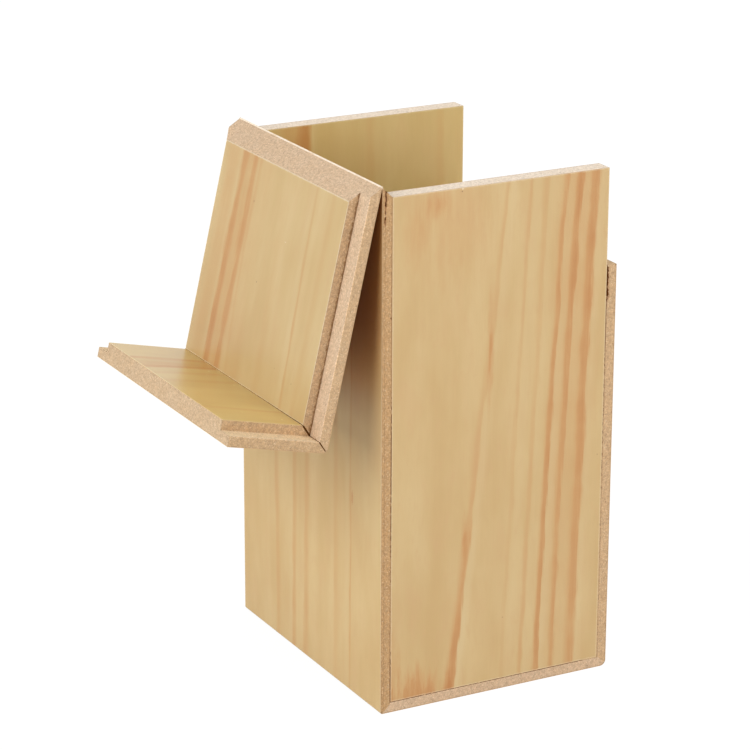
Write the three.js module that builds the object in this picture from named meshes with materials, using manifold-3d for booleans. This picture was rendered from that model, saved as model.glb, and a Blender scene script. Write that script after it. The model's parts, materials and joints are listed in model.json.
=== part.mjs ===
// Wooden gift box with a flip-over lid. Lid flap, lid, back, bottom and front are one strip of board,
// rabbeted along its edges, grooved across and folded; two side boards stand in the rabbets.
// Millimetres, +Z up. The origin is the centre of the underside, the hinge is at +Y, the low front at -Y.

import * as THREE from 'three';
import * as BufferGeometryUtils from 'three/addons/utils/BufferGeometryUtils.js';
import Module from 'manifold-3d';

const wasm = await Module();
wasm.setup();

// Outside of the closed box
const WIDTH = 136.5;
const DEPTH = 116.5;
const HEIGHT = 240;

// Flap that hangs from the lid, and the gap between its free end and the front board
const FLAP_LENGTH = 47.8;
const FLAP_GAP = 1.2;

// Fibreboard of the strip and of the side boards, the film laid on both faces and its glue line
const STRIP_CORE = 8.6;
const SIDE_CORE = 8;
const FILM = 0.2;
const GLUE = 0.1;

// Clearance in the mitres, round the side boards and beside the closing lid
const FIT = 0.3;

// Share of the strip's thickness that is left as a ledge under each rabbet
const ledgeShare = 0.51;

// Outer radius of the film where it bends round each folded corner
const FRONT_BEND = 2.8;
const BACK_BEND = 1;
const LID_BEND = 2;
const BEND_STEPS = 6;

// Loop of bare film that serves as the hinge, and the mouth it leaves between back and lid
const FOLD_RADIUS = 0.6;
const FOLD_MOUTH_ANGLE = 50;
const FOLD_STEPS = 20;

// Angles from closed, in degrees: where the lid hangs behind the box, and where it would lie on the back
const OPEN_ANGLE = 257;
const FLAT_ON_BACK_ANGLE = 270;

// How far a cutter runs past what it cuts
const OVERCUT = 5;

// Colours and surface finish
const BOARD_COLOUR = 0xcfae87;
const FILM_COLOUR = 0xd9bd85;
const SIDE_FILM_COLOUR = 0xdcc08c;
const INSIDE_FILM_COLOUR = 0xd4b980;
const BOARD_ROUGHNESS = 0.9;
const FILM_ROUGHNESS = 0.55;

// Sizes that follow from the ones above
const SKIN = FILM + GLUE;
const STRIP_THICKNESS = STRIP_CORE + 2 * SKIN;
const SIDE_THICKNESS = SIDE_CORE + 2 * SKIN;
const LEDGE = STRIP_THICKNESS * ledgeShare;
const RABBET_WIDTH = SIDE_THICKNESS + FIT;
const RAISED_WIDTH = WIDTH - 2 * RABBET_WIDTH;
const FRONT_HEIGHT = HEIGHT - FLAP_LENGTH - FLAP_GAP;
const HINGE_CUT = FOLD_RADIUS + FIT;

// Distance along the strip by which a 45 degree cut stands back to leave half the fitting gap
const MITRE_SETBACK = FIT * Math.SQRT1_2;

// Depths below the strip's outer face at which its fibreboard and its inner film lie
const CORE = { from: SKIN, to: STRIP_THICKNESS - SKIN };
const INNER_FILM = { from: STRIP_THICKNESS - FILM, to: STRIP_THICKNESS };

// Ways a board of the strip can end
const SQUARE = { kind: 'square' };
const HINGE_BEVEL = { kind: 'hinge' };
const mitre = (bend) => ({ kind: 'mitre', bend });

const Y = new THREE.Vector3(0, 1, 0);
const Z = new THREE.Vector3(0, 0, 1);
const DOWN = Z.clone().negate();
const FORWARD = Y.clone().negate();

function arcPoints(centreX, centreY, radius, fromAngle, toAngle, steps) {
  const points = [];
  for (let step = 0; step <= steps; step += 1) {
    const angle = fromAngle + ((toAngle - fromAngle) * step) / steps;
    const x = centreX + radius * Math.cos(angle);
    const y = centreY + radius * Math.sin(angle);
    points.push(new THREE.Vector2(x, y));
  }
  return points;
}

// End of one layer of a board, listed from its outer to its inner face.
// x is the distance in from the end of the board, y the depth below the strip's outer face.
function endPoints(cut, layer) {
  const inner = new THREE.Vector2(layer.to + MITRE_SETBACK, layer.to);
  if (cut.kind === 'square') {
    return [new THREE.Vector2(0, layer.from), new THREE.Vector2(0, layer.to)];
  }
  if (cut.kind === 'hinge' && layer.from < HINGE_CUT - MITRE_SETBACK) {
    const nose = new THREE.Vector2(HINGE_CUT, layer.from);
    const bevel = new THREE.Vector2(HINGE_CUT, HINGE_CUT - MITRE_SETBACK);
    return [nose, bevel, inner];
  }
  if (cut.kind === 'mitre' && layer.from < cut.bend) {
    const radius = cut.bend - layer.from;
    const lastAngle = -Math.PI / 4 - Math.acos(MITRE_SETBACK / (Math.SQRT2 * radius));
    const nose = arcPoints(cut.bend, cut.bend, radius, -Math.PI / 2, lastAngle, BEND_STEPS);
    return [...nose, inner];
  }
  return [new THREE.Vector2(layer.from + MITRE_SETBACK, layer.from), inner];
}

// Closed outline of one layer of a board, length along x and depth along y
function layerOutline(layer, length, startCut, endCut) {
  const start = endPoints(startCut, layer).reverse();
  const end = endPoints(endCut, layer).map((point) => new THREE.Vector2(length - point.x, point.y));
  return [...start, ...end];
}

// Slab of the given width, centred on the outline's plane
function extrudeAcross(outline, width) {
  const shape = new THREE.Shape(outline);
  const geometry = new THREE.ExtrudeGeometry(shape, { depth: width, bevelEnabled: false });
  geometry.translate(0, 0, -width / 2);
  return geometry;
}

function toSolid(geometry) {
  const bare = geometry.clone();
  bare.deleteAttribute('normal');
  bare.deleteAttribute('uv');
  const merged = BufferGeometryUtils.mergeVertices(bare);
  const vertProperties = Float32Array.from(merged.attributes.position.array);
  const triVerts = Uint32Array.from(merged.index.array);
  return new wasm.Manifold(new wasm.Mesh({ numProp: 3, vertProperties, triVerts }));
}

function toGeometry(solid) {
  const cut = solid.getMesh();
  const indexed = new THREE.BufferGeometry();
  indexed.setAttribute('position', new THREE.BufferAttribute(cut.vertProperties, cut.numProp));
  indexed.setIndex(new THREE.BufferAttribute(cut.triVerts, 1));
  const geometry = indexed.toNonIndexed();
  geometry.computeVertexNormals();
  return geometry;
}

function namedMesh(name, geometry, colour, roughness) {
  const material = new THREE.MeshStandardMaterial({ color: colour, roughness, metalness: 0 });
  const mesh = new THREE.Mesh(geometry, material);
  mesh.name = name;
  return mesh;
}

const boardMesh = (name, geometry) => namedMesh(name, geometry, BOARD_COLOUR, BOARD_ROUGHNESS);
const filmMesh = (name, geometry, colour) => namedMesh(name, geometry, colour, FILM_ROUGHNESS);

// Cutter for the rabbet along one long edge of a board; side is 1 or -1
function rabbetCutter(length, side) {
  const cutDepth = STRIP_THICKNESS - LEDGE + OVERCUT;
  const cutWidth = RABBET_WIDTH + OVERCUT;
  const geometry = new THREE.BoxGeometry(length + 2 * OVERCUT, cutDepth, cutWidth);
  const across = WIDTH / 2 - RABBET_WIDTH + cutWidth / 2;
  geometry.translate(length / 2, LEDGE + cutDepth / 2, side * across);
  return toSolid(geometry);
}

// Fibreboard of one length of the strip, with its ends cut and both edges rabbeted
function rabbetedBoard(name, length, startCut, endCut) {
  const blank = toSolid(extrudeAcross(layerOutline(CORE, length, startCut, endCut), WIDTH));
  const milled = blank.subtract(rabbetCutter(length, 1)).subtract(rabbetCutter(length, -1));
  return boardMesh(name, toGeometry(milled));
}

// Film on the raised inner face, between the rabbets
function innerFilm(name, length, startCut, endCut) {
  const outline = layerOutline(INNER_FILM, length, startCut, endCut);
  return filmMesh(name, extrudeAcross(outline, RAISED_WIDTH), INSIDE_FILM_COLOUR);
}

// Outer film of a length that starts with a bend and then runs straight to its far end
function bentFilm(name, length, bend, farGap) {
  const outside = arcPoints(bend, bend, bend, -Math.PI, -Math.PI / 2, BEND_STEPS);
  const inside = arcPoints(bend, bend, bend - FILM, -Math.PI / 2, -Math.PI, BEND_STEPS);
  const farEnd = [new THREE.Vector2(length - farGap, 0), new THREE.Vector2(length - farGap, FILM)];
  return filmMesh(name, extrudeAcross([...outside, ...farEnd, ...inside], WIDTH), FILM_COLOUR);
}

// Outer film that runs on from the lid round the corner and down the flap
function lidOuterFilm(name) {
  const bendX = DEPTH - LID_BEND;
  const start = [new THREE.Vector2(HINGE_CUT, FILM), new THREE.Vector2(HINGE_CUT, 0)];
  const outside = arcPoints(bendX, LID_BEND, LID_BEND, -Math.PI / 2, 0, BEND_STEPS);
  const freeEnd = [
    new THREE.Vector2(DEPTH, FLAP_LENGTH),
    new THREE.Vector2(DEPTH - FILM, FLAP_LENGTH),
  ];
  const inside = arcPoints(bendX, LID_BEND, LID_BEND - FILM, 0, -Math.PI / 2, BEND_STEPS);
  const outline = [...start, ...outside, ...freeEnd, ...inside];
  return filmMesh(name, extrudeAcross(outline, WIDTH), FILM_COLOUR);
}

// Group at a fold of the strip: its x runs along the strip, its y into the board
function foldGroup(y, z, along, inward, pieces) {
  const group = new THREE.Group();
  const across = new THREE.Vector3().crossVectors(along, inward);
  const axes = new THREE.Matrix4().makeBasis(along, inward, across);
  group.position.set(0, y, z);
  group.quaternion.setFromRotationMatrix(axes);
  group.add(...pieces);
  return group;
}

function backPanel() {
  // The outer film is drawn from its bend at the foot, so it has a frame of its own
  const film = bentFilm('back_film_outer', HEIGHT, BACK_BEND, HINGE_CUT);
  const board = rabbetedBoard('back_board', HEIGHT, HINGE_BEVEL, mitre(BACK_BEND));
  const lining = innerFilm('back_film_inner', HEIGHT, HINGE_BEVEL, mitre(BACK_BEND));
  return [
    foldGroup(DEPTH / 2, 0, Z, FORWARD, [film]),
    foldGroup(DEPTH / 2, HEIGHT, DOWN, FORWARD, [board, lining]),
  ];
}

function bottomPanel() {
  const filmOutline = [
    new THREE.Vector2(BACK_BEND, 0),
    new THREE.Vector2(DEPTH - FRONT_BEND, 0),
    new THREE.Vector2(DEPTH - FRONT_BEND, FILM),
    new THREE.Vector2(BACK_BEND, FILM),
  ];
  const film = filmMesh('bottom_film_outer', extrudeAcross(filmOutline, WIDTH), FILM_COLOUR);
  const board = rabbetedBoard('bottom_board', DEPTH, mitre(BACK_BEND), mitre(FRONT_BEND));
  const lining = innerFilm('bottom_film_inner', DEPTH, mitre(BACK_BEND), mitre(FRONT_BEND));
  return foldGroup(DEPTH / 2, 0, FORWARD, Z, [film, board, lining]);
}

function frontPanel() {
  const film = bentFilm('front_film_outer', FRONT_HEIGHT, FRONT_BEND, 0);
  const board = rabbetedBoard('front_board', FRONT_HEIGHT, mitre(FRONT_BEND), SQUARE);
  const lining = innerFilm('front_film_inner', FRONT_HEIGHT, mitre(FRONT_BEND), SQUARE);
  return foldGroup(-DEPTH / 2, 0, Z, Y, [film, board, lining]);
}

// Side board standing in the rabbets with film on both faces; side is 1 or -1
function sidePanel(word, side) {
  const length = DEPTH - 2 * (LEDGE + FIT);
  const height = HEIGHT - 2 * (LEDGE + FIT);
  const core = boardMesh(`side_board_${word}`, new THREE.BoxGeometry(SIDE_CORE, length, height));
  const outside = new THREE.BoxGeometry(FILM, length, height);
  const inside = outside.clone();
  const outer = filmMesh(`side_film_${word}_outer`, outside, SIDE_FILM_COLOUR);
  const inner = filmMesh(`side_film_${word}_inner`, inside, INSIDE_FILM_COLOUR);
  const filmOffset = (SIDE_THICKNESS - FILM) / 2;
  outer.position.x = side * filmOffset;
  inner.position.x = -side * filmOffset;
  const group = new THREE.Group();
  group.position.set((side * (WIDTH - SIDE_THICKNESS)) / 2, 0, HEIGHT / 2);
  group.add(core, outer, inner);
  return group;
}

// Bare film looped over the hinge line, open below towards the wedge between back and lid
function hingeFold() {
  const wedge = THREE.MathUtils.degToRad(FLAT_ON_BACK_ANGLE - OPEN_ANGLE);
  const mouthMiddle = wedge / 2 - Math.PI / 2;
  const halfMouth = THREE.MathUtils.degToRad(FOLD_MOUTH_ANGLE / 2);
  const from = mouthMiddle + halfMouth;
  const to = mouthMiddle - halfMouth + 2 * Math.PI;
  const outside = arcPoints(0, 0, FOLD_RADIUS, from, to, FOLD_STEPS);
  const inside = arcPoints(0, 0, FOLD_RADIUS - FILM, to, from, FOLD_STEPS);
  const fold = filmMesh('hinge_fold', extrudeAcross([...outside, ...inside], WIDTH), FILM_COLOUR);
  return foldGroup(DEPTH / 2, HEIGHT, Y, Z, [fold]);
}

// Lid and flap drawn closed about the hinge line, then swung open
function lidAssembly() {
  const lid = foldGroup(0, 0, FORWARD, DOWN, [
    lidOuterFilm('lid_film_outer'),
    rabbetedBoard('lid_board', DEPTH, HINGE_BEVEL, mitre(LID_BEND)),
    innerFilm('lid_film_inner', DEPTH, HINGE_BEVEL, mitre(LID_BEND)),
  ]);
  const flap = foldGroup(-DEPTH, 0, DOWN, Y, [
    rabbetedBoard('flap_board', FLAP_LENGTH, mitre(LID_BEND), SQUARE),
    innerFilm('flap_film_inner', FLAP_LENGTH, mitre(LID_BEND), SQUARE),
  ]);
  const group = new THREE.Group();
  group.position.set(0, DEPTH / 2, HEIGHT);
  group.rotation.x = -THREE.MathUtils.degToRad(OPEN_ANGLE);
  group.add(lid, flap);
  return group;
}

const giftBox = new THREE.Group();
giftBox.add(...backPanel());
giftBox.add(bottomPanel());
giftBox.add(frontPanel());
giftBox.add(sidePanel('left', -1));
giftBox.add(sidePanel('right', 1));
giftBox.add(hingeFold());
giftBox.add(lidAssembly());

export default giftBox;
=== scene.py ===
import json
import math
import random
from collections import namedtuple

import bmesh
import bpy
from mathutils import Matrix, Vector


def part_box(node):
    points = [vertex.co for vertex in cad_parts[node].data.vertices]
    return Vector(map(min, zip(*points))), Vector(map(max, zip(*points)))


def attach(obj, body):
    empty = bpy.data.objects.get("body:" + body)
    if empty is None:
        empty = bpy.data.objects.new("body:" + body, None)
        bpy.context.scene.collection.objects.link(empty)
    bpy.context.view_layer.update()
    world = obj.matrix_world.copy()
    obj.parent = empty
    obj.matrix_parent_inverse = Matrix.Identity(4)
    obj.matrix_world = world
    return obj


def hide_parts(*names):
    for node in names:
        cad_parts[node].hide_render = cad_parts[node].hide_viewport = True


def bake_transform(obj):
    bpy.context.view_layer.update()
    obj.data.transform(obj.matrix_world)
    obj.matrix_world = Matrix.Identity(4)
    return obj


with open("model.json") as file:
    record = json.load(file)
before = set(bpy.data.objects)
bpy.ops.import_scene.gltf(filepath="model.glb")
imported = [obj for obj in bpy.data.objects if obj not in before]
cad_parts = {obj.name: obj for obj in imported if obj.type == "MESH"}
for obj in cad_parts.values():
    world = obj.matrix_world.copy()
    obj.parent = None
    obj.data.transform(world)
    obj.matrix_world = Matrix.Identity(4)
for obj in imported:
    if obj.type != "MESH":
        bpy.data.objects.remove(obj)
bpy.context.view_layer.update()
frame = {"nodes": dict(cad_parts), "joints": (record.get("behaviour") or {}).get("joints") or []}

# Sizes are in metres. Patterns are laid out in millimetres on each panel.
MM = 0.001
PER_METRE = 1000
X = Vector((1, 0, 0))
Y = Vector((0, 1, 0))
Z = Vector((0, 0, 1))


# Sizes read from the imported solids: the box, the film, the strip with both films, and the rabbets' width

HALF_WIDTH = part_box("back_film_outer")[1].x
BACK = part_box("back_film_outer")[1].y
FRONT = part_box("front_film_outer")[0].y
FRONT_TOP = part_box("front_board")[1].z
BACK_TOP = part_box("back_board")[1].z
DEPTH = BACK - FRONT
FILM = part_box("front_film_inner")[1].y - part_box("front_film_inner")[0].y
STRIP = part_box("front_film_inner")[1].y - FRONT
RABBET = HALF_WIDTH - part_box("front_film_inner")[1].x

# What the rabbets leave of the strip, and the glue line under each film
LEDGE = 4.69 * MM
GLUE = 0.1 * MM


# The lid's directions in the opened pose

hinge_joint = frame["joints"][0]
HINGE = Vector(hinge_joint["pos_m"])
OPENING = math.radians(max(abs(limit) for limit in hinge_joint["range_deg"]))
OPENED = Matrix.Rotation(OPENING, 3, Vector(hinge_joint["axis"]))
LID_ALONG = OPENED @ -Y
LID_INWARD = OPENED @ -Z


def srgb(red, green, blue):
    """The linear colour of three screen values from 0 to 255."""
    shares = [value / 255 for value in (red, green, blue)]
    linear = [s / 12.92 if s <= 0.04045 else ((s + 0.055) / 1.055) ** 2.4 for s in shares]
    return (*linear, 1)


class Value:
    """A node's output. A sum with it makes the node that works it out."""

    def __init__(self, graph, socket):
        self.graph = graph
        self.socket = socket

    def __add__(self, other):
        return self.graph.math("ADD", self, other)

    def __sub__(self, other):
        return self.graph.math("SUBTRACT", self, other)

    def __rsub__(self, other):
        return self.graph.math("SUBTRACT", other, self)

    def __mul__(self, other):
        return self.graph.math("MULTIPLY", self, other)

    def __truediv__(self, other):
        return self.graph.math("DIVIDE", self, other)

    def __abs__(self):
        return self.graph.math("ABSOLUTE", self)

    __radd__ = __add__


class Graph:
    """A node tree with short calls for the nodes that the materials use."""

    def __init__(self, tree):
        self.tree = tree

    def feed(self, socket, value):
        """Links an output to the socket, or writes a plain value into it."""
        if isinstance(value, Value):
            self.tree.links.new(value.socket, socket)
        else:
            socket.default_value = value

    def made(self, kind, inputs, output, **settings):
        """An output of a new node, with its inputs by name or number and its settings."""
        node = self.tree.nodes.new(kind)
        for name, value in settings.items():
            setattr(node, name, value)
        for name, value in inputs.items():
            self.feed(node.inputs[name], value)
        return Value(self, node.outputs[output])

    def math(self, operation, *values, clamp=False):
        return self.made("ShaderNodeMath", dict(enumerate(values)), 0, operation=operation, use_clamp=clamp)

    def dot(self, vector, axis):
        return self.made("ShaderNodeVectorMath", {0: vector, 1: axis}, "Value", operation="DOT_PRODUCT")

    def vector(self, *parts):
        return self.made("ShaderNodeCombineXYZ", dict(enumerate(parts)), 0)

    def facing(self, way):
        """1 where the surface faces that way and -1 where it faces away."""
        return self.dot(self.made("ShaderNodeTexCoord", {}, "Normal"), way)

    def noise(self, vector, scale=1, detail=2, roughness=0.5, distortion=0):
        inputs = {"Scale": scale, "Detail": detail, "Roughness": roughness, "Distortion": distortion}
        return self.made("ShaderNodeTexNoise", {"Vector": vector, **inputs}, "Fac", noise_dimensions="3D")

    def line_noise(self, place, rate, seed=0, detail=2):
        """Noise along one direction, from a place in millimetres and a rate per millimetre."""
        inputs = {"W": place * rate + seed, "Scale": 1, "Detail": detail}
        return self.made("ShaderNodeTexNoise", inputs, "Fac", noise_dimensions="1D")

    def swing(self, noise, reach, middle=0):
        """Noise from 0 to 1 as a swing of this reach about the middle."""
        return noise * reach + (middle - reach / 2)

    def ranged(self, value, low, high, to_low=0.0, to_high=1.0, smooth=True):
        kind = "SMOOTHSTEP" if smooth else "LINEAR"
        names = ("Value", "From Min", "From Max", "To Min", "To Max")
        inputs = dict(zip(names, (value, low, high, to_low, to_high)))
        return self.made("ShaderNodeMapRange", inputs, 0, interpolation_type=kind, clamp=True)

    def mix(self, share, first, second, blend="MIX"):
        inputs = {0: share, 6: first, 7: second}
        return self.made("ShaderNodeMix", inputs, 2, data_type="RGBA", blend_type=blend, clamp_factor=True)

    def brighten(self, colour, share):
        """The colour times 1 plus the share."""
        factor = share + 1
        return self.mix(1, colour, self.vector(factor, factor, factor), blend="MULTIPLY")

    def ramp(self, value, stops):
        colour = self.made("ShaderNodeValToRGB", {0: value}, "Color")
        elements = colour.socket.node.color_ramp.elements
        while len(elements) < len(stops):
            elements.new(1)
        for element, (place, shown) in zip(elements, stops):
            element.position = place
            element.color = shown
        return colour

    def bump(self, height, strength, distance, **normal):
        inputs = {"Height": height, "Strength": strength, "Distance": distance}
        return self.made("ShaderNodeBump", {**inputs, **normal}, 0)


def new_material(name):
    """A material, its graph and the inputs of its shader."""
    material = bpy.data.materials.new(name)
    material.use_nodes = True
    return material, Graph(material.node_tree), material.node_tree.nodes["Principled BSDF"].inputs


# Wood-grain film: one printed panel per node

PALE = srgb(202, 171, 118)
TAN = srgb(193, 158, 103)
ROSY = srgb(197, 158, 107)
BRIGHT = srgb(206, 179, 130)
STREAK_SOFT = srgb(193, 146, 91)
STREAK_DARK = srgb(181, 122, 66)
CUT_EDGE = srgb(190, 154, 112)
WORN = srgb(226, 203, 166)
CHIP = srgb(222, 202, 164)
DIRT = srgb(120, 84, 48)

Look = namedtuple("Look", "tint gloss worn shade")
Panel = namedtuple("Panel", "origin across along low high")
Blotch = namedtuple("Blotch", "across along wide tall strength")
Mark = namedtuple("Mark", "across along wide tall colour share")

# A dark grain line: places and strengths at foot, middle and top, half widths at foot and top, and how crisp
# one of its sides is, the far side where the number is positive.
Streak = namedtuple("Streak", "places strengths widths crisp")


def make_panel(node, origin, across, along):
    """The panel's frame, and the node's reach on it in millimetres as (across, along) corners."""
    places = [vertex.co - origin for vertex in frame["nodes"][node].data.vertices]
    acrosses = [place.dot(across) * PER_METRE for place in places]
    alongs = [place.dot(along) * PER_METRE for place in places]
    return Panel(origin, across, along, (min(acrosses), min(alongs)), (max(acrosses), max(alongs)))


def through(first, middle, last):
    """The coefficients of the parabola through three values at 0, a half and 1."""
    bend = 4 * middle - 2 * (first + last)
    return first, last - first + bend, -bend


STREAK_SOCKETS = (
    "Across", "Along", "Share",
    "Place 0", "Place 1", "Place 2",
    "Strength 0", "Strength 1", "Strength 2",
    "Half width", "Widening", "Crisp side", "Crispness", "Seed", "Hairs",
)


def parabola(given, name):
    slope = given[f"{name} 2"] * given["Share"] + given[f"{name} 1"]
    return slope * given["Share"] + given[f"{name} 0"]


def make_streak_group():
    """A grain line: it darkens slowly from one side, ends crisply on the other and has a pale band there."""
    tree = bpy.data.node_groups.new("grain_streak", "ShaderNodeTree")
    for name in STREAK_SOCKETS:
        tree.interface.new_socket(name, in_out="INPUT", socket_type="NodeSocketFloat")
    for name in ("Depth", "Pale"):
        tree.interface.new_socket(name, in_out="OUTPUT", socket_type="NodeSocketFloat")
    graph = Graph(tree)
    given = {socket.name: Value(graph, socket) for socket in tree.nodes.new("NodeGroupInput").outputs}
    along, seed, crisp_side = given["Along"], given["Seed"], given["Crisp side"]
    wander = graph.swing(graph.line_noise(along, 0.02, seed), 1.1)
    feather = graph.swing(given["Hairs"], 2.4)
    breath = graph.swing(graph.line_noise(along, 0.05, seed), 0.7, middle=1)
    patches = graph.swing(graph.line_noise(along, 0.05, seed + 31, detail=3), 0.8, middle=0.55)
    strength = parabola(given, "Strength") * (given["Hairs"] * 0.9 + patches)
    aside = given["Across"] - (parabola(given, "Place") + (wander + feather))
    half_width = (given["Widening"] * given["Share"] + given["Half width"]) * breath

    # Each profile runs from blank to full, in half widths, and for the pale band in millimetres.
    offset = aside / half_width
    signed = offset * crisp_side
    even = graph.ranged(abs(offset), 1.25, 0.1)
    lopsided = graph.ranged(signed, -1.5, 0.45) * graph.ranged(signed, 1.2, 0.6)
    shape = even + (lopsided - even) * given["Crispness"]
    beyond = aside * crisp_side
    band = graph.ranged(beyond, 0.8, 2.6) * graph.ranged(beyond, 7.5, 3.5)

    outputs = tree.nodes.new("NodeGroupOutput").inputs
    graph.feed(outputs["Depth"], graph.math("MULTIPLY", shape, strength, clamp=True))
    graph.feed(outputs["Pale"], graph.math("MULTIPLY", band * strength, given["Crispness"], clamp=True))
    return tree


streak_group = make_streak_group()


def add_streak(graph, across, along, share, streak, seed, hairs):
    """One grain line on a panel: how dark it makes the print, and how strong its pale band is."""
    values = (
        across, along, share, *through(*streak.places), *through(*streak.strengths),
        streak.widths[0], streak.widths[1] - streak.widths[0],
        math.copysign(1, streak.crisp), abs(streak.crisp), seed, hairs,
    )
    inputs = dict(zip(STREAK_SOCKETS, values))
    depth = graph.made("ShaderNodeGroup", inputs, "Depth", node_tree=streak_group)
    return depth, Value(graph, depth.socket.node.outputs["Pale"])


def random_streaks(seed, panel):
    """Grain lines for a panel, fanned slightly, in a fixed random order."""
    chance = random.Random(seed)
    width = panel.high[0] - panel.low[0]
    count = chance.randint(5, 7)
    streaks = []
    for index in range(count):
        middle = panel.low[0] + width * (index + chance.uniform(0.15, 0.85)) / count
        lean = chance.uniform(-4, 4)
        strength = chance.choice((0.2, 0.3, 0.45, 0.65))
        strengths = tuple(strength * chance.uniform(0.6, 1.1) for _ in range(3))
        top_width = chance.uniform(1.0, 2.4)
        widths = (top_width * chance.uniform(0.7, 1.3), top_width)
        crisp = chance.choice((-1, 1)) * chance.uniform(0.5, 0.9)
        places = (middle - lean, middle + chance.uniform(-1, 1), middle + lean)
        streaks.append(Streak(places, strengths, widths, crisp))
    return streaks


# Places are millimetres from the back edge, at the foot, halfway and at the top.
SIDE_STREAKS = (
    Streak((33.8, 47.6, 61.0), (0.95, 0.3, 0.35), (2.6, 1.2), 0.8),
    Streak((60.6, 66.0, 72.6), (0.15, 0.2, 0.35), (1.2, 1.2), 0.6),
    Streak((70.3, 75.0, 80.3), (0.4, 0.25, 0.25), (1.3, 1.8), 0.5),
    Streak((78.6, 83.4, 90.0), (0.7, 0.65, 0.38), (1.7, 1.6), 0.7),
    Streak((87.2, 90.6, 97.4), (0.45, 0.42, 0.7), (1.6, 2.2), 0.6),
    Streak((96.6, 99.7, 105.0), (0.5, 0.62, 0.6), (3.0, 2.5), 0.6),
    Streak((88.0, 93.0, 97.5), (0.12, 0.24, 0.32), (12.0, 13.0), 0.0),
)
SIDE_BLOTCHES = (
    Blotch(26, 230, 9, 10, 0.38),
    Blotch(17, 216, 10, 20, 0.25),
    Blotch(34, 220, 30, 36, 0.23),
    Blotch(20, 3, 20, 20, 0.9),
    Blotch(4, 14, 9, 26, 0.45),
    Blotch(41.5, 76, 2.2, 17, 0.5),
    Blotch(53.3, 157, 2.0, 36, 0.5),
)
SIDE_MARKS = (
    Mark(38.6, 234.5, 0.7, 0.45, CHIP, 0.9),
    Mark(38.3, 233.4, 0.35, 0.3, DIRT, 0.8),
    Mark(61.5, 34.3, 0.3, 0.3, DIRT, 0.5),
    Mark(109.1, 103.5, 0.4, 0.5, DIRT, 0.35),
)

# Places are millimetres from the near edge, at the hinge, halfway and at the mitre.
LID_STREAKS = (
    Streak((105.8, 106.8, 106.4), (0.56, 0.66, 0.71), (3.5, 3.5), 0.35),
    Streak((96.4, 95.6, 95.2), (0.34, 0.34, 0.38), (3.2, 3.2), -0.2),
    Streak((98.5, 98.5, 98.0), (0.32, 0.34, 0.3), (10.0, 11.0), 0.0),
    Streak((117.0, 117.0, 117.0), (0.28, 0.26, 0.2), (9.0, 9.0), 0.0),
    Streak((83.0, 84.0, 80.0), (0.14, 0.1, 0.14), (9.0, 9.0), 0.0),
    Streak((90.3, 90.3, 86.0), (0.2, 0.15, 0.1), (1.6, 1.2), 0.4),
    Streak((37.5, 34.6, 31.0), (0.12, 0.38, 0.3), (1.0, 1.3), 0.7),
    Streak((22.0, 21.0, 20.0), (0.14, 0.12, 0.15), (2.5, 3.0), 0.3),
    Streak((62.0, 60.0, 57.0), (0.05, 0.1, 0.16), (4.0, 4.0), 0.3),
)
LID_MARKS = (
    Mark(90.7, 28.9, 0.4, 0.6, DIRT, 0.55),
    Mark(74.0, 61.4, 0.4, 0.5, DIRT, 0.5),
    Mark(55.6, 38.7, 0.9, 0.25, CHIP, 0.55),
    Mark(43.0, 92.0, 0.4, 0.4, DIRT, 0.35),
    Mark(26.0, 94.0, 0.35, 0.45, DIRT, 0.45),
)
FLAP_STREAKS = (
    Streak((105.5, 105.8, 104.0), (0.5, 0.5, 0.5), (2.6, 2.6), 0.3),
    Streak((94.5, 93.0, 90.3), (0.6, 0.5, 0.35), (2.0, 2.4), -0.5),
    Streak((98.5, 97.0, 94.0), (0.4, 0.35, 0.3), (6.0, 6.0), 0.0),
    Streak((84.0, 83.0, 80.0), (0.35, 0.25, 0.15), (2.0, 2.0), 0.4),
    Streak((72.0, 70.0, 68.0), (0.25, 0.2, 0.2), (2.0, 3.0), 0.3),
    Streak((27.0, 28.0, 28.8), (0.35, 0.3, 0.25), (1.8, 2.2), 0.4),
)
FLAP_MARKS = (
    Mark(89.3, 15.5, 1.1, 0.45, CHIP, 0.7),
    Mark(83.0, 19.5, 1.0, 0.3, CHIP, 0.4),
    Mark(68.1, 13.2, 0.8, 0.5, CHIP, 0.7),
    Mark(16.2, 15.7, 0.9, 0.5, CHIP, 0.8),
    Mark(23.9, 31.1, 1.0, 0.35, CHIP, 0.35),
    Mark(72.0, 10.0, 0.4, 0.3, DIRT, 0.6),
)
BACK_STREAKS = (
    Streak((101.0, 101.6, 106.0), (0.3, 0.3, 0.3), (2.5, 2.5), 0.3),
    Streak((84.3, 83.0, 82.8), (0.4, 0.3, 0.2), (2.2, 2.5), 0.5),
    Streak((72.6, 70.5, 70.0), (0.3, 0.3, 0.2), (2.8, 2.6), 0.3),
    Streak((43.0, 42.0, 41.0), (0.2, 0.25, 0.3), (2.6, 2.6), 0.4),
    Streak((29.5, 27.8, 27.0), (0.4, 0.38, 0.25), (0.9, 0.9), 0.6),
)
BACK_MARKS = (
    Mark(26.9, 93.0, 0.9, 4.0, STREAK_DARK, 0.55),
)
FAR_STREAKS = (
    Streak((14.0, 20.5, 28.0), (0.4, 0.5, 0.9), (4.5, 4.5), 0.7),
    Streak((24.0, 22.0, 20.0), (0.2, 0.3, 0.4), (5.0, 6.0), 0.2),
    Streak((66.0, 64.0, 62.0), (0.2, 0.2, 0.15), (3.0, 3.0), 0.3),
    Streak((101.0, 100.0, 99.0), (0.2, 0.2, 0.2), (2.5, 2.5), 0.3),
)


def in_millimetres(graph, shift=(0, 0, 0)):
    """The place on the object in millimetres, moved by the shift."""
    place = graph.made("ShaderNodeTexCoord", {}, "Object")
    scale = (PER_METRE, PER_METRE, PER_METRE)
    return graph.made("ShaderNodeVectorMath", {0: place, 1: scale, 2: shift}, 0, operation="MULTIPLY_ADD")


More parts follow.
